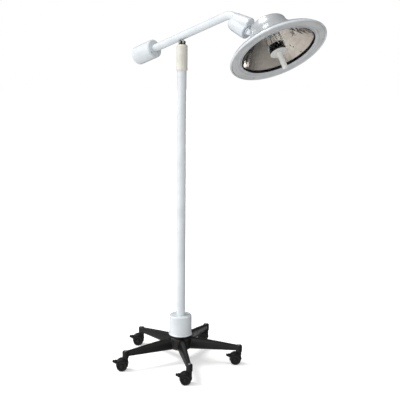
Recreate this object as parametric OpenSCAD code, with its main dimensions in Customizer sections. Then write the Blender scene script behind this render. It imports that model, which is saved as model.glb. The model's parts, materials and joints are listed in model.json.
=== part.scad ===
// Mobile examination lamp: five-star castor base, column, counterbalanced arm and bell head.
// Millimetres. +Z is up, the column stands on the Z axis, and the arm reaches out along +X.

/* [Stand] */
// Radius of the circle on which the castor stems stand
leg_reach = 284; // [250:1:320]
// Heading of the first leg, counted from the arm
leg_turn = -36.8; // [-72:0.1:72]
// Outer diameter of the column
column_d = 42; // [38:1:46]
// Height of the top of the bearing sleeve
sleeve_top = 1495; // [1300:5:1600]
// Outer diameter of the bearing sleeve
sleeve_d = 50; // [48:1:56]
// Diameter of the power housing
housing_d = 106; // [104:1:116]
// Height of the foot of the power housing
housing_foot = 133; // [130:1:140]
// Height of the top of the power housing
housing_top = 229; // [222:1:260]

/* [Castors] */
// Wheel diameter
wheel_d = 50; // [46:1:52]
// Distance from the stem to the axle
trail = 17; // [14:1:20]
// Heading in which every castor trails
trail_heading = 225; // [0:1:359]

/* [Arm] */
// Slope of the balance arm above the horizontal
arm_rise = 16.1; // [0:0.1:30]
// Outer diameter of the arm tube
arm_d = 35; // [32:1:36]
// Distance along the arm from its pivot to the elbow
elbow_reach = 297; // [260:1:340]
// Slope of the tube below the horizontal after the elbow
neck_drop = 17; // [5:1:30]
// Diameter of the counterweight
weight_d = 86; // [70:1:100]
// Length of the counterweight
weight_length = 124; // [90:1:140]

/* [Head] */
// Slope of the swivel axis below the horizontal
swivel_dip = 27.9; // [20:0.1:40]
// Turn of the head about the swivel axis
swivel_turn = -12; // [-60:1:60]
// Lean of the head away from facing straight down
head_lean = 33; // [0:1:50]
// Distance from the swivel origin to the centre of the rim
head_reach = 260.4; // [255:0.1:270]
// Outer diameter of the rim
rim_d = 410; // [400:1:420]
// Diameter of the light opening
opening_d = 320; // [316:1:324]
// Diameter of the handle grip
grip_d = 23; // [20:1:26]
// Length of the grip in front of its guard
grip_length = 73; // [60:1:90]

/* [Hidden] */
$fn = 96;
hull_fn = 32;
run = 0.05;            // radial clearance of a shaft that turns in its hole
loose = 0.3;           // clearance between faces that only pass each other
legs = 5;
leg_step = 360 / legs;

// stand
hub_r = 56;
hub_foot = 62;
hub_top = 124;
boss_r = 15;
boss_foot = 60;
boss_top = 94;
flange_r = 50;
stem_r = 5.5;
hood_r = 30;
brake_x = trail + 29.5; // pin of the brake lever, in the castor's own frame
brake_z = wheel_d / 2 + 16.5;
stem_cap_r = 5;
column_r = column_d / 2;
column_wall = 2;
column_foot = 66;
column_top = 1402;
housing_r = housing_d / 2;
housing_wall = 3;
cap_depth = 11;        // visible depth of the housing's cap
lip_out = 3;           // how far the housing's foot flange stands out
rear_heading = leg_turn + 2.5 * leg_step;
sleeve_r = sleeve_d / 2;
sleeve_foot = 1380;
spindle_r = 12;
spindle_foot = 1408;
washer_t = 2;

// arm
pivot_z = sleeve_top + 11.4;
arm_lift = 26.5;       // the tube's centreline above the pivot bolt
arm_r = arm_d / 2;
arm_wall = 2;
arm_tail = 215;        // the tube's length behind the pivot
elbow_r = 70;          // bend radius on the centreline
bend_swell = 0.2;      // the wall thickens a little in the bend
leg_after_elbow = 60;  // from the corner of the two centrelines to the tube's end
bolt_r = 4;
lug_t = 12;
cheek_t = 6.8;
lug_r = 7.5;
cheek_r = 8;
weight_r = weight_d / 2;
weight_face = 179;     // the weight's front face behind the pivot
weight_chamfer = 5;

// neck: x along the tube after the elbow, measured from the corner of the centrelines
lobe_x = 49;
lobe_z = -8;
lobe_r = 27;
lobe_length = 80;
barrel_z = -23;
barrel_r = 32;
barrel_sag = 4;        // the lower lobe hangs this far below its bore
barrel_length = 74;
spindle_d = 20;
bush_d = 26;
bush_foot = 18.2;
neck_screw_x = 34;
bracket_x = 92;        // the tilt pin, from the swivel origin
bracket_disc_r = 21;
bracket_gap = 17;
bracket_cheek_t = 6;
pin_r = 5;

// head: z runs from the rim plane to the crown
rim_r = rim_d / 2;
opening_r = opening_d / 2;
crown = 142;
shell_t = 2.5;
shell_outline = [[56, crown], [68, 138.5], [75, 131], [77, 122], [80, 113], [85, 104], [91, 95],
    [100, 85.5], [110, 77], [124, 65.5], [140, 53], [156, 43], [172, 33.5], [185, 25.5],
    [195, 18], [201, 11.5]];
seal_t = 4;
glass_z = 11;
glass_t = 4;
hub_z = [2, 22];       // front and back of the black centre hub
centre_r = 33;
guard_r = 36;
guard_t = 5;
stub_r = 6;
filter_r = 25;
filter_z = [34, 92];
frame_r = 33;          // circle on which the frame's rods stand
socket_z = 96;
bulb_r = 6.5;

// colours
white_paint = [0.91, 0.93, 0.94];
sleeve_white = [0.90, 0.89, 0.85];
black_cast = [0.08, 0.07, 0.07];
bright_steel = [0.75, 0.76, 0.78];
mirror_metal = [0.62, 0.60, 0.57];

// ---------- places ----------

module at_leg(i, r = leg_reach)
    rotate([0, 0, leg_turn + i * leg_step])
        translate([r, 0, 0]) children();

// the castor's own frame: the stem on Z, trailing along +X
module at_castor(i)
    translate([leg_reach * cos(leg_turn + i * leg_step), leg_reach * sin(leg_turn + i * leg_step), 0])
        rotate([0, 0, trail_heading]) children();

// x along the arm towards the head, origin on the pivot bolt
module in_arm()
    translate([0, 0, pivot_z])
        rotate([0, -arm_rise, 0]) children();

// x along the tube after the elbow
module in_neck()
    in_arm()
        translate([elbow_reach, 0, arm_lift])
            rotate([0, arm_rise + neck_drop, 0]) children();

// x along the swivel axis, before the head's turn about it
module in_barrel()
    in_neck()
        translate([lobe_x, 0, barrel_z])
            rotate([0, swivel_dip - neck_drop, 0]) children();

module in_swivel()
    in_barrel() rotate([swivel_turn, 0, 0]) children();

// z from the rim plane to the crown, origin at the centre of the rim
module in_head()
    in_swivel()
        translate([head_reach, 0, 0])
            rotate([0, -(swivel_dip + head_lean), 0]) children();

// ---------- shapes ----------

module tube_z(r_out, r_in, z0, z1)
    translate([0, 0, z0])
        difference() {
            cylinder(r = r_out, h = z1 - z0);
            translate([0, 0, -1]) cylinder(r = r_in, h = z1 - z0 + 2);
        }

module rod_x(r, x0, x1)
    translate([x0, 0, 0]) rotate([0, 90, 0]) cylinder(r = r, h = x1 - x0);

module rod_y(r, length)
    rotate([90, 0, 0]) cylinder(r = r, h = length, center = true);

module rod_z(r, z0, z1)
    translate([0, 0, z0]) cylinder(r = r, h = z1 - z0);

// the profile of a round bar along x with chamfered ends
module chamfered_bar(r, x0, x1, c)
    translate([x0, 0, 0]) rotate([0, 90, 0])
        rotate_extrude()
            polygon([[0, 0], [r - c, 0], [r, c], [r, x1 - x0 - c], [r - c, x1 - x0], [0, x1 - x0]]);

// points of the bell's outline moved inwards by t
function inset(p, t) = [for (q = p) [max(q[0] - t * 0.8, 0), q[1] - t * 0.8]];

// ---------- stand ----------

// one sloping leg: a rounded ridge over a flatter foot
module star_leg() {
    root_x = 36;
    hull() {
        translate([root_x, 0, hub_top - 16]) rotate([0, 90, 0]) cylinder(r = 15, h = 1, $fn = hull_fn);
        for (s = [-1, 1])
            translate([root_x, s * 21, hub_foot + 6]) rotate([0, 90, 0])
                cylinder(r = 5, h = 1, $fn = hull_fn);
        translate([leg_reach - 6, 0, boss_top - 11]) rotate([0, 90, 0])
            cylinder(r = 10, h = 1, $fn = hull_fn);
        for (s = [-1, 1])
            translate([leg_reach - 6, s * 9, boss_foot + 12]) rotate([0, 90, 0])
                cylinder(r = 4, h = 1, $fn = hull_fn);
    }
}

module star_base() color(black_cast)
    difference() {
        union() {
            rod_z(hub_r, hub_foot + 8, hub_top);
            translate([0, 0, hub_foot]) cylinder(r1 = hub_r - 8, r2 = hub_r, h = 8);
            for (i = [0:legs - 1]) {
                rotate([0, 0, leg_turn + i * leg_step]) star_leg();
                at_leg(i) rotate_extrude()
                    polygon([[0, boss_foot], [boss_r, boss_foot], [boss_r, boss_top - 4],
                        [boss_r - 4, boss_top], [0, boss_top]]);
            }
        }
        rod_z(column_r + run, column_foot, hub_top + 1);
        rod_z(column_r - 6, hub_foot - 1, column_foot + 1);
        for (i = [0:legs - 1]) at_leg(i) rod_z(stem_r + run, boss_foot - 1, boss_top - 8);
        for (i = [0:legs - 1]) at_leg(i) rod_z(stem_cap_r - 1, boss_top - 9, boss_top + 1);
    }

module stem_caps() color(bright_steel)
    for (i = [0:legs - 1]) at_leg(i) {
        rod_z(stem_cap_r - 1, boss_top - 4, boss_top);
        translate([0, 0, boss_top]) cylinder(r1 = stem_cap_r, r2 = stem_cap_r - 1.5, h = 2);
    }

module hub_flange() color(black_cast)
    tube_z(flange_r, column_r + run, hub_top, housing_foot);

module column() color(white_paint)
    tube_z(column_r, column_r - column_wall, column_foot, column_top);

module lower_housing() color(white_paint)
    difference() {
        rotate_extrude()
            polygon([[column_r + loose, housing_foot], [housing_r + lip_out - 1, housing_foot],
                [housing_r + lip_out, housing_foot + 1.5], [housing_r + lip_out, housing_foot + 4],
                [housing_r, housing_foot + 7], [housing_r, housing_top - cap_depth],
                [housing_r - housing_wall, housing_top - cap_depth],
                [housing_r - housing_wall, housing_foot + 4], [column_r + loose, housing_foot + 4]]);
        rotate([0, 0, rear_heading]) {
            translate([housing_r - 8, -14, housing_foot + 16]) cube([16, 28, 20]);
            translate([housing_r - 1, -17, housing_foot + 13]) cube([16, 34, 26]);
            translate([housing_r - 8, -11, housing_foot + 48]) cube([16, 22, 15]);
            translate([housing_r - 1, -13, housing_foot + 45]) cube([16, 26, 21]);
        }
    }

module housing_cap() color(white_paint)
    rotate_extrude()
        polygon([[column_r + loose, housing_top - 5], [housing_r - 6, housing_top - 5],
            [housing_r - 6, housing_top - cap_depth - 5],
            [housing_r - housing_wall - loose, housing_top - cap_depth - 5],
            [housing_r - housing_wall - loose, housing_top - cap_depth + loose],
            [housing_r, housing_top - cap_depth + loose], [housing_r, housing_top - 3],
            [housing_r - 3, housing_top], [column_r + loose, housing_top]]);

// toroidal mains transformer around the column, clear of the inlet at the rear
module transformer() color("goldenrod")
    translate([0, 0, housing_foot + 4.5])
        rotate_extrude()
            translate([column_r + 2, 0])
                polygon([[3, 0], [9, 0], [12, 3], [12, 37], [9, 40], [3, 40], [0, 37], [0, 3]]);

// mains inlet and the frame of the rocker switch, both pushed in from outside
module power_inlet() color(black_cast)
    rotate([0, 0, rear_heading]) {
        difference() {
            union() {
                translate([housing_r - 6, -13.7, housing_foot + 16.3]) cube([5, 27.4, 19.4]);
                translate([housing_r - 1, -17, housing_foot + 13]) cube([4, 34, 26]);
            }
            translate([housing_r - 4, -12, housing_foot + 18]) cube([8, 24, 16]);
        }
        for (p = [[-7, 0], [0, 4], [7, 0]])
            translate([housing_r - 4.5, p[0] - 1, housing_foot + 23 + p[1]]) cube([5.5, 2, 4]);
        difference() {
            union() {
                translate([housing_r - 6, -10.7, housing_foot + 48.3]) cube([6, 21.4, 14.4]);
                translate([housing_r - 1, -13, housing_foot + 45]) cube([3, 26, 21]);
            }
            translate([housing_r - 8, -9, housing_foot + 49.5]) cube([12, 18, 12]);
            translate([housing_r - 1.5, 0, housing_foot + 55.5]) rod_y(1 + run, 21.5);
        }
    }

// rocker: two shallow faces that meet on its pivot line
module rocker_switch() color(black_cast)
    rotate([0, 0, rear_heading])
        translate([housing_r - 1.5, 0, housing_foot + 55.5]) {
            rod_y(1, 20.6);
            rotate([90, 0, 0])
                linear_extrude(height = 16, center = true)
                    polygon([[-2, -2], [0.6, -4.9], [3.6, -4.4], [2.6, 0], [4.9, 4.4], [1, 4.9], [-2, 2]]);
        }

// ---------- column head ----------

module bearing_sleeve() color(sleeve_white)
    difference() {
        rotate_extrude()
            polygon([[0, sleeve_foot], [sleeve_r - 1, sleeve_foot], [sleeve_r, sleeve_foot + 1],
                [sleeve_r, sleeve_foot + 5], [sleeve_r + 1, sleeve_foot + 6],
                [sleeve_r + 1, sleeve_foot + 9], [sleeve_r, sleeve_foot + 10],
                [sleeve_r, sleeve_top - 5], [sleeve_r - 1.5, sleeve_top - 1.5],
                [sleeve_r - 5, sleeve_top], [0, sleeve_top]]);
        rod_z(column_r + run, sleeve_foot - 1, column_top + 1);
        rod_z(column_r - 4, column_top, sleeve_top + 1);
    }

module spindle_bushes() color("tan")
    for (z = [spindle_foot + 2, sleeve_top - 22]) tube_z(column_r - 4 - run, spindle_r + run, z, z + 22);

module fork_spindle() color(bright_steel)
    rod_z(spindle_r, spindle_foot, sleeve_top + washer_t);

module thrust_washer() color("tan")
    tube_z(18.5, spindle_r + run, sleeve_top, sleeve_top + washer_t - run);

module arm_fork() color(black_cast)
    difference() {
        union() {
            rod_z(17, sleeve_top + washer_t, sleeve_top + washer_t + 1.4);
            for (s = [-1, 1])
                translate([0, s * (lug_t / 2 + loose + cheek_t / 2), pivot_z]) {
                    rod_y(cheek_r, cheek_t);
                    translate([-cheek_r, -cheek_t / 2, -9])
                        cube([2 * cheek_r, cheek_t, 9]);
                }
        }
        translate([0, 0, pivot_z]) rod_y(bolt_r + run, 60);
    }

module pivot_bolt() color(bright_steel)
    translate([0, 0, pivot_z]) {
        half = lug_t / 2 + loose + cheek_t;
        rod_y(bolt_r, 2 * half + 12);
        translate([0, -half - 2.2, 0]) rod_y(6.5, 4.4);
        difference() {
            translate([0, half + 2.2, 0]) rod_y(6.5, 4.4);
            rod_y(bolt_r, 60);
        }
    }

// ---------- arm ----------

module arm_lug() color(white_paint)
    in_arm() difference() {
        union() {
            rod_y(lug_r, lug_t);
            translate([-lug_r, -lug_t / 2, 0]) cube([2 * lug_r, lug_t, arm_lift - arm_r + 2]);
        }
        rod_y(bolt_r + run, 60);
        translate([0, 0, arm_lift]) rod_x(arm_r, -60, 60);
    }

// straight tail, one bend down towards the head, and a short straight leg, as a solid bar;
// the bend is drawn a little fuller or slimmer than the straights, and they run 1 mm into it
module arm_path(r, bend_r, past = 0) {
    bend = arm_rise + neck_drop;
    tangent = elbow_r * tan(bend / 2);
    in_arm() translate([0, 0, arm_lift]) {
        rod_x(r, -arm_tail - past, elbow_reach - tangent + 1);
        translate([elbow_reach - tangent, 0, -elbow_r]) rotate([90, 0, 0])
            rotate([0, 0, 90 - bend])
                rotate_extrude(angle = bend) translate([elbow_r, 0]) circle(r = bend_r);
    }
    in_neck() rod_x(r, tangent - 1, leg_after_elbow + past);
}

module arm_tube() color(white_paint)
    difference() {
        arm_path(arm_r, arm_r + bend_swell);
        arm_path(arm_r - arm_wall, arm_r - arm_wall - bend_swell, 1);
    }

module friction_washers() color("tan")
    in_arm()
        for (s = [-1, 1]) translate([0, s * (lug_t / 2 + loose / 2), 0])
            difference() {
                rod_y(lug_r - 0.5, loose - 0.1);
                rod_y(bolt_r + run, 4);
            }

module counterweight() color(white_paint)
    in_arm() translate([0, 0, arm_lift]) difference() {
        chamfered_bar(weight_r, -weight_face - weight_length, -weight_face, weight_chamfer);
        rod_x(arm_r + run, -arm_tail, -weight_face + 1);
        translate([-weight_face - 14, 0, -weight_r - 1]) cylinder(r = 4, h = weight_r);
    }

// clamp screw from below that locks the weight on the tube, and a small plug screw in its face
module counterweight_screw() color(bright_steel)
    in_arm() {
        translate([-weight_face - 14, 0, arm_lift - weight_r])
            rod_z(4 - run, 2, weight_r - arm_r - run);
        translate([-weight_face, -26, arm_lift - 20]) rod_x(3.2, 0, 1.6);
    }

// a bar along x with a round start and a softened end
module lobe(r, length, c)
    rotate([0, 90, 0]) rotate_extrude() {
        intersection() {
            circle(r = r);
            translate([0, -r]) square([r, r]);
        }
        polygon([[0, 0], [r, 0], [r, length - c], [r - c, length], [0, length]]);
    }

module neck_outline() {
    translate([lobe_x, 0, lobe_z]) lobe(lobe_r, lobe_length, 4);
    translate([lobe_x, 0, barrel_z]) rotate([0, swivel_dip - neck_drop, 0])
        translate([0, 0, -barrel_sag]) lobe(barrel_r, barrel_length, 3);
}

// twin-lobed casting: the upper bore grips the arm tube, the lower one holds the swivel
module neck_housing() color(white_paint)
    difference() {
        in_neck() neck_outline();
        in_neck() rod_x(arm_r + run, -20, leg_after_elbow + 1);
        in_neck() rod_x(arm_r + 1.5, -20, 22);
        in_barrel() rod_x(bush_d / 2 + run, bush_foot - 0.2, barrel_length + 1);
        in_barrel() rod_x(bracket_disc_r + 3, barrel_length, barrel_length + 60);
        for (x = [neck_screw_x, neck_screw_x + 14])
            in_neck() translate([x, 30, 0]) rod_y(3 + run, 28);
    }

module neck_screws() color(bright_steel)
    for (x = [neck_screw_x, neck_screw_x + 14])
        in_neck() translate([x, 21.8, 0]) rod_y(3, 8.4);

module swivel_bush() color("tan")
    in_barrel() difference() {
        rod_x(bush_d / 2, bush_foot, barrel_length);
        rod_x(spindle_d / 2 + run, bush_foot - 1, barrel_length + 1);
    }

// ---------- swivel ----------

module head_spindle() color(bright_steel)
    in_swivel() rod_x(spindle_d / 2, bush_foot + 0.5, barrel_length + 2);

module tilt_bracket() color(white_paint)
    in_swivel() difference() {
        union() {
            rod_x(bracket_disc_r, barrel_length + 2, barrel_length + 6);
            for (s = [-1, 1])
                translate([0, s * (bracket_gap + bracket_cheek_t) / 2, 0]) {
                    translate([bracket_x, 0, 0]) rod_y(11.5, bracket_cheek_t);
                    translate([barrel_length + 5, -bracket_cheek_t / 2, -11.5])
                        cube([bracket_x - barrel_length - 5, bracket_cheek_t, 23]);
                }
        }
        translate([bracket_x, 0, 0]) rod_y(pin_r + run, 60);
    }

module tilt_pin() color(bright_steel)
    in_swivel() translate([bracket_x, 0, 0]) {
        half = bracket_gap / 2 + bracket_cheek_t;
        rod_y(pin_r, 2 * half + 0.5);
        for (s = [-1, 1]) translate([0, s * (half + 1.5), 0]) rod_y(8, 3);
    }

// ---------- head ----------

// eye on the tilt pin, shank through the bell's flank, and a plate behind it
module head_lug() color(white_paint)
    difference() {
        union() {
            in_swivel() translate([bracket_x, 0, 0]) {
                rod_y(10, bracket_gap - 1);
                translate([0, -(bracket_gap - 1) / 2, -9]) cube([32, bracket_gap - 1, 17]);
            }
            in_head() translate([-70, -13, 110]) cube([6, 26, 17]);
        }
        in_swivel() translate([bracket_x, 0, 0]) rod_y(pin_r + run, 60);
    }

module head_shell() color(white_paint)
    difference() {
        in_head() rotate_extrude()
            polygon(concat([[0, crown]], shell_outline,
                [[204, 8], [rim_r, 4], [rim_r - 0.6, 1], [rim_r - 3, 0], [rim_r - 6, 1.5],
                    [rim_r - 7, 5], [rim_r - 8, 9]],
                [for (i = [len(shell_outline) - 2:-1:0]) inset(shell_outline, shell_t)[i]],
                [[0, crown - shell_t]]));
        in_swivel() translate([bracket_x, -(bracket_gap - 1) / 2 - loose, -9 - loose])
            cube([34, bracket_gap - 1 + 2 * loose, 17 + 2 * loose]);
    }

// stepped trim ring between the bell's lip and the light opening
module rim_ring() color(white_paint)
    in_head() rotate_extrude()
        polygon([[opening_r, 11], [opening_r, 6], [opening_r + 3, 4.5], [opening_r + 12, 4.5],
            [opening_r + 13, 3], [opening_r + 24, 3], [opening_r + 25, 1.5], [opening_r + 36, 1.5],
            [opening_r + 37.5, 3], [opening_r + 37.5, 5.5], [opening_r + 30, 7], [opening_r + 16, 9.5],
            [opening_r + 8, 11]]);

module rim_screws() color(bright_steel)
    in_head() for (k = [0:2]) rotate([0, 0, 40 + 120 * k])
        translate([opening_r + 30, 0, 0]) rod_z(3, 0.2, 1.5);

// black rubber seal that holds the glass
module glass_seal() color("black")
    in_head() rotate_extrude()
        polygon([[opening_r - seal_t, 7], [opening_r - 0.1, 7], [opening_r - 0.1, 11.2],
            [opening_r + 4, 11.2], [opening_r + 4, 19], [opening_r - seal_t, 19],
            [opening_r - seal_t, glass_z + glass_t], [opening_r - 1.9, glass_z + glass_t],
            [opening_r - 1.9, glass_z], [opening_r - seal_t, glass_z]]);

module front_glass() color([0.8, 0.9, 0.9, 0.3])
    in_head() tube_z(opening_r - 2, centre_r + loose, glass_z, glass_z + glass_t);

// bowl mirror: an open paraboloid of revolution round the bulb, with a flange on the seal
function bowl_r(z) = 155 * sqrt((118 - z) / 99);
module reflector() color(mirror_metal)
    in_head() rotate_extrude()
        polygon(concat([[163, 19.1]], [for (z = [19.1, 26, 34, 42, 50, 58, 66, 74, 82, 90, 97, 103, 108])
                [bowl_r(z), z]], [[36, 112], [36, 113.5], [39, 113.5]],
            [for (z = [108, 103, 97, 90, 82, 74, 66, 58, 50, 42, 34, 26]) [bowl_r(z) + 1.6, z + 0.8]],
            [[156.3, 20.7], [163, 20.7]]));

module heat_filter() color([0.8, 0.9, 0.95, 0.4])
    in_head() tube_z(filter_r, filter_r - 2, filter_z[0], filter_z[1]);

// two rings, four rods and a post that carry the filter, the lamp and the centre hub
module filter_frame() color(bright_steel)
    in_head() {
        for (z = [filter_z[0] - 3, filter_z[1]]) tube_z(36, filter_r - 4, z, z + 3);
        for (k = [0:3]) rotate([0, 0, 45 + 90 * k]) translate([frame_r - 2, 0, 0])
            rod_z(2, hub_z[1], 126);
        rod_z(35.5, 125, 128);
        rod_z(8, 127, crown - shell_t);
    }

module lamp_socket() color([0.15, 0.15, 0.15])
    in_head() {
        rod_z(14, socket_z + 2, 125);
        translate([-9, -6, socket_z - 8]) cube([18, 12, 10]);
    }

module bulb() color([0.95, 0.95, 0.9])
    in_head() {
        rod_z(bulb_r, 50, socket_z - 14);
        translate([0, 0, 50]) sphere(r = bulb_r);
        translate([-5, -2, socket_z - 14]) cube([10, 4, 6]);
    }

// black hub, its stub for the handle and the catch groove
module centre_hub() color("black")
    in_head() difference() {
        union() {
            rod_z(centre_r, hub_z[0], hub_z[1]);
            rod_z(stub_r, -55, hub_z[0]);
        }
        tube_z(stub_r + 1, stub_r - 1, -46, -43);
    }

module handle_guard() color(white_paint)
    in_head() difference() {
        rotate_extrude()
            polygon([[0, 1.5], [guard_r - 2, 1.5], [guard_r, -0.5], [guard_r, -guard_t + 2],
                [guard_r - 3, -guard_t + 0.5], [grip_d / 2, -guard_t - 0.5], [0, -guard_t - 0.5]]);
        rod_z(grip_d / 2 - 1, -guard_t - 2, 3);
    }

// hollow grip that slides off the stub to be sterilised
module handle_grip() color(white_paint)
    in_head() difference() {
        rotate_extrude()
            polygon([[0, 1.5], [grip_d / 2 - 1, 1.5], [grip_d / 2 - 1, -guard_t - 0.5],
                [grip_d / 2, -guard_t - 0.5], [grip_d / 2 - 0.8, -40], [grip_d / 2, -70],
                [grip_d / 2, -grip_length], [grip_d / 2 - 1.5, -grip_length - 3],
                [grip_d / 2 - 5, -grip_length - 5], [0, -grip_length - 5]]);
        rod_z(stub_r + run, -56, 3);
    }

// ---------- castors ----------

module castor_stem(i) color(bright_steel)
    at_castor(i) {
        rod_z(stem_r, wheel_d / 2 + 28.5, boss_top - 8.5);
        translate([trail, 0, wheel_d / 2]) rod_y(3, 43);
    }

// hood: a bridge over both wheels, a web between them and a socket for the stem
module castor_hood(i) color(black_cast)
    at_castor(i) difference() {
        union() {
            difference() {
                union() {
                    rod_z(12, 44, boss_foot - 1);
                    translate([trail, 0, wheel_d / 2]) intersection() {
                        rod_y(hood_r, 44);
                        rotate([0, -24, 0]) translate([-40, -30, 0]) cube([80, 60, 40]);
                        translate([-40, -30, 5]) cube([80, 60, 40]);
                    }
                    for (s = [-1, 1])
                        translate([brake_x, s * 12.5, brake_z]) rod_y(5.5, 3);
                }
                translate([trail, 0, wheel_d / 2]) rod_y(wheel_d / 2 + 1.2, 60);
                translate([brake_x, 0, brake_z]) rod_y(5.2, 22);
            }
            translate([trail, 0, wheel_d / 2]) intersection() {
                rod_y(hood_r - 2, 7);
                translate([-40, -30, -9]) cube([80, 60, 60]);
            }
        }
        rod_z(stem_r - run, wheel_d / 2 + 28.5, boss_foot);
        translate([trail, 0, wheel_d / 2]) rod_y(3 - run, 60);
        translate([brake_x, 0, brake_z]) rod_y(2 + run, 30);
    }

// a pair of wheels with dished faces, one on each side of the web
module castor_wheels(i) color(black_cast)
    at_castor(i) translate([trail, 0, wheel_d / 2])
        for (s = [-1, 1]) rotate([s * 90, 0, 0]) translate([0, 0, 4.2])
            rotate_extrude()
                polygon([[3 + run, 0], [wheel_d / 2 - 1, 0], [wheel_d / 2, 1], [wheel_d / 2, 15],
                    [wheel_d / 2 - 2.5, 18], [wheel_d / 2 - 6, 18], [wheel_d / 2 - 8, 15.5],
                    [9, 15.5], [7, 18], [3 + run, 18]]);

// tread lever on a pin between the two ears of the hood
module brake_lever(i) color(black_cast)
    at_castor(i) translate([brake_x, 0, brake_z]) {
        rod_y(4, 21);
        rod_y(2, 27.6);
        rotate([90, 0, 0]) linear_extrude(height = 21, center = true)
            polygon([[0, -2.6], [10, -1.4], [14, 0.4], [15, 3], [13.6, 5.6], [10, 4.6], [0, 3.9]]);
    }

star_base();
stem_caps();
hub_flange();
column();
lower_housing();
housing_cap();
transformer();
power_inlet();
rocker_switch();
bearing_sleeve();
spindle_bushes();
arm_fork();
fork_spindle();
thrust_washer();
pivot_bolt();
arm_lug();
arm_tube();
friction_washers();
counterweight();
counterweight_screw();
neck_housing();
neck_screws();
swivel_bush();
head_spindle();
tilt_bracket();
tilt_pin();
head_lug();
head_shell();
rim_ring();
rim_screws();
front_glass();
glass_seal();
reflector();
heat_filter();
filter_frame();
lamp_socket();
bulb();
centre_hub();
handle_guard();
handle_grip();
for (i = [0:legs - 1]) {
    castor_stem(i);
    castor_hood(i);
    castor_wheels(i);
    brake_lever(i);
}
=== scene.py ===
"""Mobile examination lamp: five-star castor base, slim column, counterbalanced arm and bell head.

Everything is in metres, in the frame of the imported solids: +Z is up, the column stands on the Z axis,
and the arm reaches out along +X. Places come from the frame's joints and boxes.
"""

import json

import bmesh
import bpy
import numpy as np
from mathutils import Matrix, Vector

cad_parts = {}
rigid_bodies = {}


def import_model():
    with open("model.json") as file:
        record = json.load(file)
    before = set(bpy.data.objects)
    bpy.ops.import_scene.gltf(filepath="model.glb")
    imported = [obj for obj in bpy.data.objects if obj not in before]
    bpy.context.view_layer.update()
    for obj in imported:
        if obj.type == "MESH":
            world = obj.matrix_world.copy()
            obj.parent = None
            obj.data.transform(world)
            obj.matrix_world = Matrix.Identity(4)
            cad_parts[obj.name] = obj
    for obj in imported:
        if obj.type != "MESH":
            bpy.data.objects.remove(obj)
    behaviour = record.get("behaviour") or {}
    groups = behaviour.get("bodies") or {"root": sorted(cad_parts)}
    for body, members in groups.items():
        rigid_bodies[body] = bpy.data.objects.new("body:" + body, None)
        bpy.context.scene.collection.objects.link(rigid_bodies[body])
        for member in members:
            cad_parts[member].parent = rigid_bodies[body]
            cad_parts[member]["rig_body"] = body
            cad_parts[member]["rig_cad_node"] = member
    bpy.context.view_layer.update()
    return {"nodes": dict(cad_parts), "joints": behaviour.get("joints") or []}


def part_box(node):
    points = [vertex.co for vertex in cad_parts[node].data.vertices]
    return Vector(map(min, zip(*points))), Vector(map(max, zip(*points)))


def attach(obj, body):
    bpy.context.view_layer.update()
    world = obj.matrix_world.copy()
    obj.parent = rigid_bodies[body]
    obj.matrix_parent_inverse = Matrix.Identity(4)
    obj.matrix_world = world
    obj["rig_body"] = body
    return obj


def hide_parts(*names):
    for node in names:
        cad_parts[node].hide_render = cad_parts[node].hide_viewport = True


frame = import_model()
joints = {j["name"]: j for j in frame["joints"]}
MM = 0.001


# ---------------------------------------------------------------- camera
# A 66 mm lens 1.4 m above the floor and 3.4 m from the column, 45 degrees off the arm's heading and
# looking slightly down. It leans by half a degree, as a hand-held camera does.
eye = Vector((2.383, -2.383, 1.3754))
level = Vector((-0.6885, 0.7253, 0.0)).normalized()
pitch, roll = np.radians(9.91), 0.010
ahead = level * np.cos(pitch) - Vector((0, 0, 1)) * np.sin(pitch)
side = ahead.cross(Vector((0, 0, 1))).normalized()
top = side.cross(ahead)
right = side * np.cos(roll) + top * np.sin(roll)
up = top * np.cos(roll) - side * np.sin(roll)
lens = bpy.data.cameras.new("camera")
lens.lens, lens.sensor_width = 65.97, 36.0
lens.clip_end = 100.0
camera = bpy.data.objects.new("camera", lens)
camera.matrix_world = Matrix.Translation(eye) @ Matrix((right, up, -ahead)).transposed().to_4x4()
bpy.context.scene.collection.objects.link(camera)
bpy.context.scene.camera = camera


# ---------------------------------------------------------------- studio
# White studio paper on the floor, a broad soft lamp high on the left, and a pale room around it.
# Matt paper scatters nearly all light, with a faint tooth that only shows close to. It glows a little
# and throws nothing back on the lamp, so that the room's light alone shapes the lamp's underside.
def linear(colour):
    """A hex sRGB colour as linear red, green, blue and full alpha, by the standard sRGB curve."""
    c = np.array([int(colour[i : i + 2], 16) for i in (1, 3, 5)]) / 255
    c = np.where(c <= 0.04045, c / 12.92, ((c + 0.055) / 1.055) ** 2.4)
    return (*c.tolist(), 1.0)


def add(finish, kind, settings=None, links=None):
    """Adds one shader node. A setting goes to the node's field or input of that name; a link joins
    the input of that name to another node's output."""
    made = finish.node_tree.nodes.new("ShaderNode" + kind)
    for key, value in (settings or {}).items():
        if isinstance(key, str) and hasattr(made, key):
            setattr(made, key, value)
        else:
            made.inputs[key].default_value = value
    for key, source in (links or {}).items():
        finish.node_tree.links.new(source, made.inputs[key])
    return made


def new_finish(name, colour, settings):
    """A material with one Principled shader, its colour from hex and its sockets from settings."""
    made = bpy.data.materials.new(name)
    made.use_nodes = True
    shader = made.node_tree.nodes["Principled BSDF"]
    shader.inputs["Base Color"].default_value = linear(colour)
    for key, value in settings.items():
        shader.inputs[key].default_value = value
    return made


def roughen(finish, grain, height, detail=2.0):
    """Bump from noise of that grain and height in metres, in Object coordinates: the tooth of paper,
    the orange peel of a powder coat or the spark texture of a moulding."""
    place = add(finish, "TexCoord")
    noise = add(finish, "TexNoise", {"Scale": 1 / grain, "Detail": detail},
                {"Vector": place.outputs["Object"]})
    bump = add(finish, "Bump", {"Distance": height}, {"Height": noise.outputs["Fac"]})
    shader = finish.node_tree.nodes["Principled BSDF"]
    finish.node_tree.links.new(bump.outputs["Normal"], shader.inputs["Normal"])


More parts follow.
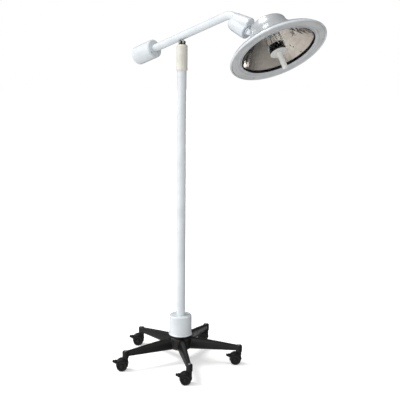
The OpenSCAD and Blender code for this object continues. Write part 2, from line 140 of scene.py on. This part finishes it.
def mottle(finish, light, dark, patch, socket="Base Color", low=0.42, high=0.62):
    """Lets a socket drift between two colours or grey levels over patches of that size in metres, as
    handling, dust and uneven film do."""
    place = add(finish, "TexCoord")
    noise = add(finish, "TexNoise", {"Scale": 1 / patch, "Detail": 4.0},
                {"Vector": place.outputs["Object"]})
    ramp = add(finish, "ValToRGB", {}, {"Fac": noise.outputs["Fac"]})
    for stop, at, colour in zip(ramp.color_ramp.elements, (low, high), (light, dark)):
        stop.position = at
        stop.color = linear(colour) if isinstance(colour, str) else (colour, colour, colour, 1)
    shader = finish.node_tree.nodes["Principled BSDF"]
    finish.node_tree.links.new(ramp.outputs["Color"], shader.inputs[socket])


paper = new_finish("matt_white_studio_paper", "#f6f6f6", {"Roughness": 0.95, "Specular IOR Level": 0.05,
                                                           "Emission Strength": 0.36})
paper.node_tree.nodes["Principled BSDF"].inputs["Emission Color"].default_value = linear("#ffffff")
roughen(paper, 2 * MM, 0.05 * MM)
floor_mesh = bpy.data.meshes.new("floor")
half_floor = 40.0
floor_mesh.from_pydata([(x * half_floor, y * half_floor, 0) for x, y in ((-1, -1), (1, -1), (1, 1), (-1, 1))],
                       [], [(0, 1, 2, 3)])
floor = bpy.data.objects.new("floor", floor_mesh)
floor.data.materials.append(paper)
bpy.context.scene.collection.objects.link(floor)
floor.visible_diffuse = floor.visible_glossy = floor.visible_transmission = False

room = bpy.data.worlds.new("pale_room")
room.use_nodes = True
sky = room.node_tree.nodes["Background"]
towards = add(room, "TexCoord")


def glow(toward, start, end, dark, bright):
    """Light from the room that rises from one strength to another as the cosine of the angle between
    a ray and the given direction goes from start to end."""
    along = add(room, "VectorMath", {"operation": "DOT_PRODUCT", 1: tuple(toward.normalized())},
                {0: towards.outputs["Generated"]})
    return add(room, "MapRange", {"interpolation_type": "SMOOTHSTEP", "From Min": start, "From Max": end,
                                  "To Min": dark, "To Max": bright},
               {"Value": along.outputs["Value"]}).outputs["Result"]


# the room is brightest at the left front, where a window-sized panel stands. A glow from below stands
# in for the paper's bounce, a weaker panel fills in from the right front, and one small lamp far off
# on the right gives the mirror its glint
below = Vector((0, 0, -1))
glows = (glow(-0.7 * side - 0.7 * ahead, -0.9, 0.9, 0.18, 0.62),
         glow(-0.62 * side - 0.70 * ahead + 0.30 * top, 0.74, 0.90, 0.0, 1.2),
         glow(below - 0.35 * side, 0.2, 0.9, 0.0, 0.85),
         glow(0.72 * side - 0.66 * ahead + 0.2 * top, 0.5, 1.0, 0.0, 0.42),
         glow(0.86 * side + 0.48 * level + 0.12 * below, 0.993, 0.998, 0.0, 6.0))
shade = glows[0]
for other in glows[1:]:
    shade = add(room, "Math", {"operation": "ADD"}, {0: shade, 1: other}).outputs[0]
# looked at directly, the room is plain white all round
seen = add(room, "LightPath")
room.node_tree.links.new(
    add(room, "Mix", {"data_type": "FLOAT", 3: 1.0},
        {0: seen.outputs["Is Camera Ray"], 2: shade}).outputs[0],
    sky.inputs["Strength"])
sky.inputs["Color"].default_value = linear("#ffffff")
bpy.context.scene.world = room
bpy.context.scene.view_settings.view_transform = "Standard"

sun = bpy.data.lights.new("soft_key", "SUN")
sun.energy, sun.angle = 1.75, np.radians(22)
sun.color = linear("#fffdfa")[:3]
key = bpy.data.objects.new("soft_key", sun)
shine = (level * -0.15 + side * 0.66 - Vector((0, 0, 1))).normalized()
key.rotation_euler = shine.to_track_quat("-Z", "Y").to_euler()
bpy.context.scene.collection.objects.link(key)


# ---------------------------------------------------------------- star base
# Five sloping legs and a hub, one iron casting, powder-coated semi-gloss black. The coat hides the
# casting's grain but not its soft edges, and is unevenly worn, so its sheen drifts along a leg.
black_powder = new_finish("semi_gloss_black_powder_coat", "#0b0a0a",
                          {"Roughness": 0.36, "Specular IOR Level": 0.3})
roughen(black_powder, 1.1 * MM, 0.06 * MM)
mottle(black_powder, "#0a0909", "#100e0e", 35 * MM)
mottle(black_powder, 0.30, 0.46, 12 * MM, "Roughness")


def grid_faces(rows, columns, wrap_rows=False):
    """Quads over a grid of rows by columns points that closes round its columns, and round its rows
    too if asked."""
    r, c = np.meshgrid(np.arange(rows if wrap_rows else rows - 1), np.arange(columns), indexing="ij")
    r2, c2 = (r + 1) % rows, (c + 1) % columns
    corners = [r * columns + c, r * columns + c2, r2 * columns + c2, r2 * columns + c]
    return np.stack(corners, -1).reshape(-1, 4)


def make_piece(name, points, faces, material, smooth=True):
    """A mesh object from arrays of points and faces. Points that coincide, as at a pole, are merged."""
    mesh = bpy.data.meshes.new(name)
    mesh.from_pydata(points.reshape(-1, 3).tolist(), [], [tuple(f) for f in faces])
    merged = bmesh.new()
    merged.from_mesh(mesh)
    bmesh.ops.remove_doubles(merged, verts=merged.verts, dist=1e-6)
    merged.to_mesh(mesh)
    merged.free()
    mesh.polygons.foreach_set("use_smooth", np.full(len(mesh.polygons), smooth))
    mesh.materials.append(material)
    piece = bpy.data.objects.new(name, mesh)
    bpy.context.scene.collection.objects.link(piece)
    return piece


def lathe(profile, around=128):
    """Points of a profile (radius, height) turned round Z: row i, column j stands at radius i and
    angle j, so x = r cos a and y = r sin a."""
    a = np.linspace(0, 2 * np.pi, around, endpoint=False)
    r, z = profile[:, :1], profile[:, 1:]
    return np.stack([r * np.cos(a), r * np.sin(a), z + 0 * a], -1)


def fuse(piece, voxel, passes):
    """Joins what overlaps in a piece into one skin by a voxel remesh, then relaxes it, which leaves
    the small fillets of a casting."""
    remesh = piece.modifiers.new("skin", "REMESH")
    remesh.mode, remesh.voxel_size, remesh.use_smooth_shade = "VOXEL", voxel, True
    relax = piece.modifiers.new("fillets", "SMOOTH")
    relax.factor, relax.iterations = 0.5, passes
    graph = bpy.context.evaluated_depsgraph_get()
    skin = bpy.data.meshes.new_from_object(piece.evaluated_get(graph))
    piece.modifiers.clear()
    piece.data = skin
    return piece


def joined(shapes, wrap_rows=False):
    """Points and quads of several closed surfaces as one: each one's quads count on from the points
    of those before it."""
    ends = np.cumsum([0] + [shape.shape[0] * shape.shape[1] for shape in shapes])
    faces = [grid_faces(*shape.shape[:2], wrap_rows) + end for shape, end in zip(shapes, ends)]
    return np.concatenate([shape.reshape(-1, 3) for shape in shapes]), np.concatenate(faces)


star_shapes = []
stems = [Vector(joints[f"castor_turn_{i}"]["pos_m"]) for i in range(1, 6)]
reach = stems[0].xy.length
run, turn = np.meshgrid(np.linspace(0, 1, 60), np.linspace(0, 2 * np.pi, 72, endpoint=False), indexing="ij")
stem_boss = np.array([[0, 60], [13.8, 60], [14.8, 60.6], [15, 62], [15, 88], [14.4, 91.5], [12.6, 93.5],
                      [9, 94.2], [0, 94.2]]) * MM
for stem in stems:
    # a leg is a rounded trapezium, 54 mm wide and 61 mm deep at the hub, that narrows, flattens and
    # falls to 28 mm by 25 mm at the boss
    heading = np.arctan2(stem.y, stem.x)
    rise, half = np.sin(turn), 27 * MM - 13 * MM * run ** 0.9
    crest = 124 * MM - 31 * MM * run ** 1.15
    sole = 63 * MM + 5 * MM * run
    squared = np.sign(rise) * np.abs(rise) ** 0.55
    height = (crest + sole) / 2 + (crest - sole) / 2 * squared
    ridge = 1 - 0.46 * (1 + squared) / 2
    out = half * ridge * np.sign(np.cos(turn)) * np.abs(np.cos(turn)) ** 0.62
    leg_ends = np.array([0, -1])
    out[leg_ends], height[leg_ends] = 0, height[leg_ends].mean(axis=1, keepdims=True)
    along = 20 * MM + run * (reach - 22 * MM)
    leg = np.stack([along * np.cos(heading) - out * np.sin(heading),
                    along * np.sin(heading) + out * np.cos(heading), height], -1)
    star_shapes += [leg, lathe(stem_boss, 72) + [stem.x, stem.y, 0]]
hub = np.array([[0, 62], [44, 62], [47, 63], [54, 69], [56, 73], [56, 112], [54, 119], [49, 123.4],
                [0, 123.8]]) * MM
star = make_piece("star_casting", *joined(star_shapes + [lathe(hub, 72)]), black_powder)
fuse(star, 1.8 * MM, 5)
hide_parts("star_base")
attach(star, "stand")


def coat(finish, *nodes):
    """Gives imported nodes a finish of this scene's own."""
    for node in nodes:
        frame["nodes"][node].data.materials[0] = finish


# bright domed caps close the stem holes in the leg tips
bright_steel = new_finish("machined_bright_steel", "#c2c4c8", {"Metallic": 1.0, "Roughness": 0.24})
mottle(bright_steel, 0.18, 0.34, 4 * MM, "Roughness")
coat(bright_steel, "stem_caps")


# ---------------------------------------------------------------- castors
# Twin-wheel castors in black nylon: moulded hoods, levers and wheels, a turned steel stem. Nylon comes
# from the mould with a fine spark texture and a dull sheen; the tread band is duller still and greyer.
nylon = new_finish("moulded_black_nylon", "#0a0909", {"Roughness": 0.46, "Specular IOR Level": 0.3})
roughen(nylon, 0.7 * MM, 0.08 * MM)
mottle(nylon, "#090808", "#100f0f", 9 * MM)
tread = new_finish("worn_polyurethane_tread", "#1b1a1a", {"Roughness": 0.62, "Specular IOR Level": 0.35})
roughen(tread, 1.5 * MM, 0.12 * MM)
mottle(tread, "#171616", "#2a2927", 6 * MM)


def soften(node, name, voxel, passes, material):
    """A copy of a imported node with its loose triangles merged, fused and relaxed, so that its edges
    have the small radii of a moulding or a casting."""
    piece = frame["nodes"][node].copy()
    piece.data = piece.data.copy()
    piece.name = piece.data.name = name
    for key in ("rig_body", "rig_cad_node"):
        del piece[key]
    piece.parent = None
    bpy.context.scene.collection.objects.link(piece)
    weld = piece.modifiers.new("weld", "WELD")
    weld.merge_threshold = 1e-5
    fuse(piece, voxel, passes)
    piece.data.materials.clear()
    piece.data.materials.append(material)
    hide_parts(node)
    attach(piece, frame["nodes"][node]["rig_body"])
    return piece


# one wheel from its inner face round the tread to the dished outer face and its hub; its tread is
# rows 2 to 4, and the floor of its dish is rows 10 and 11
wheel = np.array([[3.2, 4.3], [22.6, 4.3], [24.2, 4.8], [25, 6], [25, 18], [24.4, 20], [22.8, 21.6],
                  [20.2, 22.1], [18.4, 21.6], [17.4, 20.2], [16.6, 19.6], [10.4, 19.4], [9.4, 20],
                  [8.4, 21.6], [7.6, 22.1], [0, 22.1], [0, 21.6], [3.2, 21.6]]) * MM
wheel_faces = grid_faces(len(wheel), 96, wrap_rows=True)
wheel_faces = np.concatenate([wheel_faces, wheel_faces[:, ::-1] + len(wheel) * 96])
on_tread = np.tile(np.repeat(np.isin(np.arange(len(wheel)), (2, 3, 4)), 96), 2)
# eight shallow pockets between ribs in the dished face: the pocket's floor sinks 1.6 mm
angle = np.linspace(0, 2 * np.pi, 96, endpoint=False)
one_wheel = lathe(wheel, 96)
one_wheel[10:12, :, 2] -= 1.6 * MM * (np.cos(8 * angle) < 0.55)
both_wheels = np.concatenate([one_wheel.reshape(-1, 3), (one_wheel * [1, 1, -1]).reshape(-1, 3)])
for i in range(1, 6):
    spin = joints[f"wheel_spin_{i}"]
    turned = np.array(Vector(spin["axis"]).to_track_quat("Z", "X").to_matrix())
    pair = make_piece(f"wheel_pair_{i}", both_wheels @ turned.T + spin["pos_m"], wheel_faces, nylon)
    pair.data.materials.append(tread)
    pair.data.polygons.foreach_set("material_index", on_tread.astype(int))
    bevel = pair.modifiers.new("mould_radii", "BEVEL")
    bevel.width, bevel.segments, bevel.angle_limit = 0.4 * MM, 2, np.radians(40)
    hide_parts(f"castor_wheels_{i}")
    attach(pair, f"wheel_{i}")
    soften(f"castor_hood_{i}", f"castor_cover_{i}", 0.6 * MM, 2, nylon)
    coat(nylon, f"brake_lever_{i}")
    coat(bright_steel, f"castor_stem_{i}")


# ---------------------------------------------------------------- column and power housing
# A steel tube and a spun steel can with a pressed lid, powder-coated satin white over the hub. The
# coat is faintly blue, has a fine orange peel, and is a little duller where hands and mops reach.
white_powder = new_finish("satin_white_powder_coat", "#d9dfe3", {"Roughness": 0.3, "Coat Weight": 0.7,
                                                                 "Coat Roughness": 0.1})
roughen(white_powder, 1.3 * MM, 0.05 * MM)
mottle(white_powder, "#dce2e6", "#d3dade", 60 * MM)
mottle(white_powder, 0.28, 0.42, 25 * MM, "Roughness")
coat(white_powder, "column", "lower_housing", "housing_cap")
coat(nylon, "hub_flange", "power_inlet", "rocker_switch")

# the transformer's winding is bound with yellow polyester tape, which darkens unevenly as it warms
tape = new_finish("yellow_polyester_tape", "#c99a2e", {"Roughness": 0.4})
mottle(tape, "#cfa036", "#b98a22", 12 * MM)
coat(tape, "transformer")

# three pan-head screws on the lid's top face hold it, on a circle 0.72 of the lid's
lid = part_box("housing_cap")
lid_top, screw_circle = lid[1].z, 0.72 * lid[1].x
screw = np.array([[0, -1.0], [2.6, -1.0], [2.6, 0.6], [2.3, 1.3], [1.5, 1.8], [0, 2.0]]) * MM
heads = [lathe(screw, 24) + [screw_circle * np.cos(a), screw_circle * np.sin(a), lid_top]
         for a in np.radians([80, 200, 320])]
lid_screws = make_piece("lid_screws", *joined(heads), bright_steel)
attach(lid_screws, "stand")


# ---------------------------------------------------------------- bearing sleeve, fork and pivot
# The sleeve at the column's head is turned steel in a warmer white enamel. In it a steel spindle turns
# in acetal bushes and carries a small black fork, with a zinc bolt through it.
sleeve_enamel = new_finish("warm_white_enamel", "#dcdad0", {"Roughness": 0.26, "Coat Weight": 0.2,
                                                            "Coat Roughness": 0.12})
roughen(sleeve_enamel, 1.6 * MM, 0.03 * MM)
mottle(sleeve_enamel, "#dfddd3", "#d6d3c8", 30 * MM)
coat(sleeve_enamel, "bearing_sleeve")
acetal = new_finish("turned_natural_acetal", "#d9cba6", {"Roughness": 0.42, "Subsurface Weight": 0.05})
mottle(acetal, "#ddd0ac", "#d0c198", 5 * MM)
coat(acetal, "spindle_bushes", "thrust_washer", "friction_washers", "swivel_bush")
coat(bright_steel, "fork_spindle", "pivot_bolt")
soften("arm_fork", "pivot_fork", 0.5 * MM, 2, black_powder)


# ---------------------------------------------------------------- arm and counterweight
# A bent steel tube welded to its pivot lug, in the same white powder coat as the column, with a solid
# steel weight clamped on its tail by a screw.
coat(white_powder, "arm_lug", "arm_tube", "counterweight")
coat(bright_steel, "counterweight_screw")


# ---------------------------------------------------------------- neck
# Two round lobes in one aluminium casting, in gloss white enamel: the upper grips the arm, the lower
# holds the swivel. Gloss enamel is smooth, with a slow waviness from the casting under it.
gloss_enamel = new_finish("gloss_white_enamel", "#d5dbe1", {"Roughness": 0.16, "Coat Weight": 1.0,
                                                            "Coat Roughness": 0.05})
roughen(gloss_enamel, 9 * MM, 0.05 * MM)
mottle(gloss_enamel, "#d8dee4", "#ced5db", 50 * MM)
soften("neck_housing", "neck_casting", 1.1 * MM, 3, gloss_enamel)
soften("tilt_bracket", "tilt_fork", 0.6 * MM, 2, gloss_enamel)
soften("head_lug", "tilt_lug", 0.6 * MM, 2, gloss_enamel)
coat(bright_steel, "neck_screws", "head_spindle", "tilt_pin")


# ---------------------------------------------------------------- bell
# The head's shell is spun from aluminium sheet over a former and rolled over a wire at its lip. Its
# back has a silver-grey gloss enamel that mirrors the room faintly; its lip is white like the neck.
tilt = joints["head_tilt"]
back = -Vector(joints["handle_pull"]["axis"])
across_head = Vector(tilt["axis"])
down_head = across_head.cross(back)
head_axes = np.array(Matrix((down_head, across_head, back)))
pin_from_rim = Vector((-81.9, 0, 147.14)) * MM
rim_centre = Vector(tilt["pos_m"]) - Matrix(head_axes.tolist()).transposed() @ pin_from_rim


def in_head(points):
    """Points in the head's own axes, with Z from the centre of the rim to the crown, put in place."""
    return points @ head_axes + np.array(rim_centre)


def eased(points, steps=10):
    """A smooth line through given points: Catmull-Rom spans, each a cubic whose tangent at a point
    is half the step between its neighbours."""
    p = np.concatenate([2 * points[:1] - points[1:2], points, 2 * points[-1:] - points[-2:-1]])
    t = np.linspace(0, 1, steps, endpoint=False)[None, :, None]
    a, b, c, d = (p[k : len(p) - 3 + k, None] for k in range(4))
    span = b + 0.5 * t * (c - a + t * (2 * a - 5 * b + 4 * c - d + t * (3 * (b - c) + d - a)))
    return np.concatenate([span.reshape(-1, points.shape[1]), points[-1:]])


flank = eased(np.array([[0, 142], [32, 142], [56, 141.5], [66, 139.2], [72.4, 135], [75.6, 129.5], [77, 122],
                        [80, 113], [85, 104], [91, 95], [100, 85.5], [110, 77], [124, 65.5], [140, 53],
                        [156, 43], [172, 33.5], [185, 25.5], [195, 18], [201, 11.5]]) * MM)
bead = np.radians(np.linspace(55, -190, 26))
lip = np.stack([201.3 * MM + 3.7 * MM * np.cos(bead), 5 * MM + 5 * MM * np.sin(bead)], -1)
# the sheet is 2 mm thick, and the lining starts 12 steps up from the lip, past the rolled wire
wire_steps = 12
lining = np.maximum(flank - 2 * MM, 0)[::-1][wire_steps:]
outline = np.concatenate([flank, lip, lining])[::-1]
bell_finish = new_finish("silver_grey_gloss_enamel", "#d0d4d8", {"Metallic": 0.55, "Roughness": 0.24,
                                                                 "Coat Weight": 0.3, "Coat Roughness": 0.1})
mottle(bell_finish, 0.22, 0.26, 60 * MM, "Roughness")
shell = make_piece("bell_shell", in_head(lathe(outline, 224)), grid_faces(len(outline), 224), bell_finish)
shell.data.materials.append(gloss_enamel)
on_lip = np.arange(len(outline) - 1) < len(lining) + len(lip)
shell.data.polygons.foreach_set("material_index", np.repeat(on_lip, 224).astype(int))
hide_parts("head_shell")
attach(shell, "head")

# the stepped trim ring inside the lip is pressed sheet in a satin enamel. Its colour is set greyer than the
# lip's white as painted shade, for the shade that falls on its downward-facing steps
# painted shade: this enamel's base colour and its patches are darker than the lip's white so that the ring
# looks shaded
ring_enamel_with_painted_shade = new_finish("satin_white_enamel_greyed_for_painted_shade", "#cccdcc", {"Roughness": 0.3, "Coat Weight": 0.2})
roughen(ring_enamel_with_painted_shade, 3 * MM, 0.03 * MM)
mottle(ring_enamel_with_painted_shade, "#cfd0cf", "#c3c5c4", 40 * MM)
coat(ring_enamel_with_painted_shade, "rim_ring")
coat(bright_steel, "rim_screws")

# two round beads, 3 mm thick, are rolled into the ring: one at the seal, one at its first step
bead_turn = np.linspace(0, 2 * np.pi, 12, endpoint=False)
for name, bead_at, bead_z in (("inner_bead", 158.2, 5.0), ("outer_bead", 169.2, 3.8)):
    bead_line = np.stack([bead_at + 1.5 * np.cos(bead_turn), bead_z + 1.5 * np.sin(bead_turn)], -1) * MM
    bead_ring = make_piece(name, in_head(lathe(bead_line, 192)), grid_faces(12, 192, wrap_rows=True),
                           gloss_enamel)
    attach(bead_ring, "head")

# the seal between ring and glass is extruded rubber, dull and a little dusty
rubber = new_finish("black_epdm_seal", "#0d0d0d", {"Roughness": 0.6})
roughen(rubber, 0.9 * MM, 0.05 * MM)
mottle(rubber, "#0b0b0b", "#171717", 10 * MM)
coat(rubber, "glass_seal")


# ---------------------------------------------------------------- mirror
# A bowl of flat facets pressed in anodised high-gloss aluminium, which spreads the light evenly. Each
# facet leans a little its own way, so neighbours reflect different things.
bright_anodised = new_finish("bright_anodised_aluminium", "#a89f97", {"Metallic": 1.0, "Roughness": 0.07})
mottle(bright_anodised, "#ada59e", "#a19890", 60 * MM)
mottle(bright_anodised, 0.05, 0.09, 40 * MM, "Roughness")


def bowl_radius(height):
    """Radius of the bowl at a height above the rim. It is a paraboloid with its vertex at 118 mm and
    155 mm in radius at 19 mm, so the radius goes as the root of the depth below the vertex."""
    return 155 * MM * np.sqrt((118 * MM - height) / (99 * MM))


rows, columns = 15, 48
height = np.linspace(19.1, 112, rows + 1) * MM
bowl_r = bowl_radius(height)
facets = lathe(np.stack([bowl_r, height], -1), columns)
chance = np.random.default_rng(7)
# each corner is off by 0.09 mm or so, and each column of facets as a whole by 0.22 mm
sway = chance.normal(0, 0.09 * MM, facets.shape[:2]) + chance.normal(0, 0.22 * MM, columns)
sway[[0, -1]] = 0
facets += sway[..., None] * facets / np.linalg.norm(facets, axis=-1, keepdims=True)
outside = lathe(np.stack([bowl_r + 1.5 * MM, height + 0.9 * MM], -1), columns)[::-1]
flange = lathe(np.array([[163.0, 20.7], [163.0, 19.1]]) * MM, columns)
bowl = np.concatenate([facets, outside, flange])[::-1]
mirror = make_piece("facet_mirror", in_head(bowl), grid_faces(len(bowl), columns, wrap_rows=True),
                    bright_anodised, smooth=False)
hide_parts("reflector")
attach(mirror, "head")

# small black screws hold the mirror to its brackets in the bell: five a side, 5.2 mm across the head.
# Each stands square to the bowl, at a height above the rim in mm and an angle round it in degrees
black_oxide = new_finish("black_oxide_steel", "#141312", {"Metallic": 0.6, "Roughness": 0.4})
mottle(black_oxide, 0.32, 0.5, 3 * MM, "Roughness")
spots = np.array([[60, 86], [51.5, 83], [24, 79], [82, 50], [68, 38]])
spots = np.concatenate([spots, spots + [0, 180]])
spot_height, turn = spots[:, 0] * MM, np.radians(spots[:, 1])
spot_r = bowl_radius(spot_height)
inward = np.stack([-np.cos(turn), -np.sin(turn), -(155 * MM) ** 2 / (198 * MM) / spot_r], -1)
inward /= np.linalg.norm(inward, axis=1, keepdims=True)
along_turn = np.stack([-np.sin(turn), np.cos(turn), 0 * turn], -1)
square = np.stack([along_turn, np.cross(inward, along_turn), inward], 1)
dome = lathe(np.array([[0, -1.2], [2.6, -1.2], [2.6, 0.3], [2.0, 1.1], [0, 1.5]]) * MM, 16)
spot_place = np.stack([spot_r * np.cos(turn), spot_r * np.sin(turn), spot_height], -1)
mirror_heads = np.einsum("rci,sij->srcj", dome, square) + spot_place[:, None, None]
mirror_screws = make_piece("mirror_screws", *joined(in_head(mirror_heads)), black_oxide)
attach(mirror_screws, "head")


# ---------------------------------------------------------------- front glass and lamp
# Toughened float glass in the seal, a borosilicate tube that takes out heat, and in it a quartz
# capsule with a tungsten coil, in a dark steatite holder on a wire frame.
float_glass = new_finish("toughened_float_glass", "#fbfcfb", {"Roughness": 0.02, "Transmission Weight": 1.0,
                                                             "IOR": 1.1})
coat(float_glass, "front_glass")
heat_glass = new_finish("borosilicate_heat_filter", "#fbfcfc", {"Roughness": 0.02, "Transmission Weight": 1.0,
                                                                "IOR": 1.12})
coat(heat_glass, "heat_filter")
quartz = new_finish("fused_quartz_capsule", "#fbfbf8", {"Roughness": 0.02, "Transmission Weight": 1.0,
                                                        "IOR": 1.2})
coat(quartz, "bulb")
steatite = new_finish("dark_steatite", "#2b2827", {"Roughness": 0.7})
roughen(steatite, 0.8 * MM, 0.1 * MM)
mottle(steatite, "#2a2726", "#383432", 4 * MM)
coat(steatite, "lamp_socket")
coat(bright_steel, "filter_frame")

# the coil: 14 turns of wire, 2.4 mm across and 8 mm long, across the capsule
tungsten = new_finish("drawn_tungsten", "#8d8a88", {"Metallic": 1.0, "Roughness": 0.35})
mottle(tungsten, 0.3, 0.45, 1 * MM, "Roughness")


def wire(path, radius, sides, across):
    """A round wire along a path of points: at each point a ring of that radius, square to the path's
    tangent, which closes to a point at both ends. Rings start square to the direction across."""
    tangent = np.gradient(path, axis=0)
    tangent /= np.linalg.norm(tangent, axis=1, keepdims=True)
    first = np.cross(tangent, across)
    first /= np.linalg.norm(first, axis=1, keepdims=True)
    second = np.cross(tangent, first)
    a = np.linspace(0, 2 * np.pi, sides, endpoint=False)[None, :, None]
    radius = radius * np.ones((len(path), 1, 1))
    radius[[0, -1]] = 0
    return path[:, None] + radius * (np.cos(a) * first[:, None] + np.sin(a) * second[:, None])


a = np.linspace(0, 28 * np.pi, 280)
coil = np.stack([a / a[-1] * 8 - 4, 1.2 * np.cos(a), 58 + 1.2 * np.sin(a)], -1) * MM
coil = wire(coil, 0.3 * MM, 6, (0.31, 0.22, 0.92))
filament = make_piece("filament", in_head(coil), grid_faces(len(coil), 6), tungsten)
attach(filament, "head")

# four springs of 2.6 mm steel wire hold the heat filter to its frame
spring_line = eased(np.array([[33, 33], [33.5, 60], [31.5, 82], [27, 92.5], [17, 96.5], [8, 97]]) * MM, 8)
springs = []
for a in np.radians([20, 110, 200, 290]):
    outward, across = np.array([np.cos(a), np.sin(a), 0]), np.array([-np.sin(a), np.cos(a), 0])
    path = spring_line[:, :1] * outward + spring_line[:, 1:] * [0, 0, 1]
    springs.append(wire(path, 1.3 * MM, 10, across))
filter_springs = make_piece("filter_springs", *joined(in_head(np.array(springs))), bright_steel)
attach(filter_springs, "head")


# ---------------------------------------------------------------- centre hub and handle
# A black nylon hub with a stepped boss behind it carries the positioning handle: a guard disc and a
# hollow grip moulded in a milky white polymer that stands steam. Light goes a little way into it.
coat(nylon, "centre_hub")
boss = lathe(np.array([[0, 21.5], [19, 21.5], [19, 27], [15.5, 30], [15.5, 38], [12, 41], [0, 41]]) * MM, 64)
hub_boss = make_piece("hub_boss", in_head(boss), grid_faces(len(boss), 64), nylon)
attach(hub_boss, "head")

# the handle's polymer is bare, glossy from its mould, and faintly uneven inside
milky = new_finish("autoclavable_white_polymer", "#f6f6f3", {"Roughness": 0.2, "Subsurface Weight": 0.12,
                                                            "Coat Weight": 0.25, "Coat Roughness": 0.08})
milky.node_tree.nodes["Principled BSDF"].inputs["Subsurface Radius"].default_value = (4 * MM,) * 3
roughen(milky, 2.5 * MM, 0.03 * MM)
mottle(milky, "#ececea", "#e2e2de", 12 * MM)
coat(milky, "handle_guard", "handle_grip")
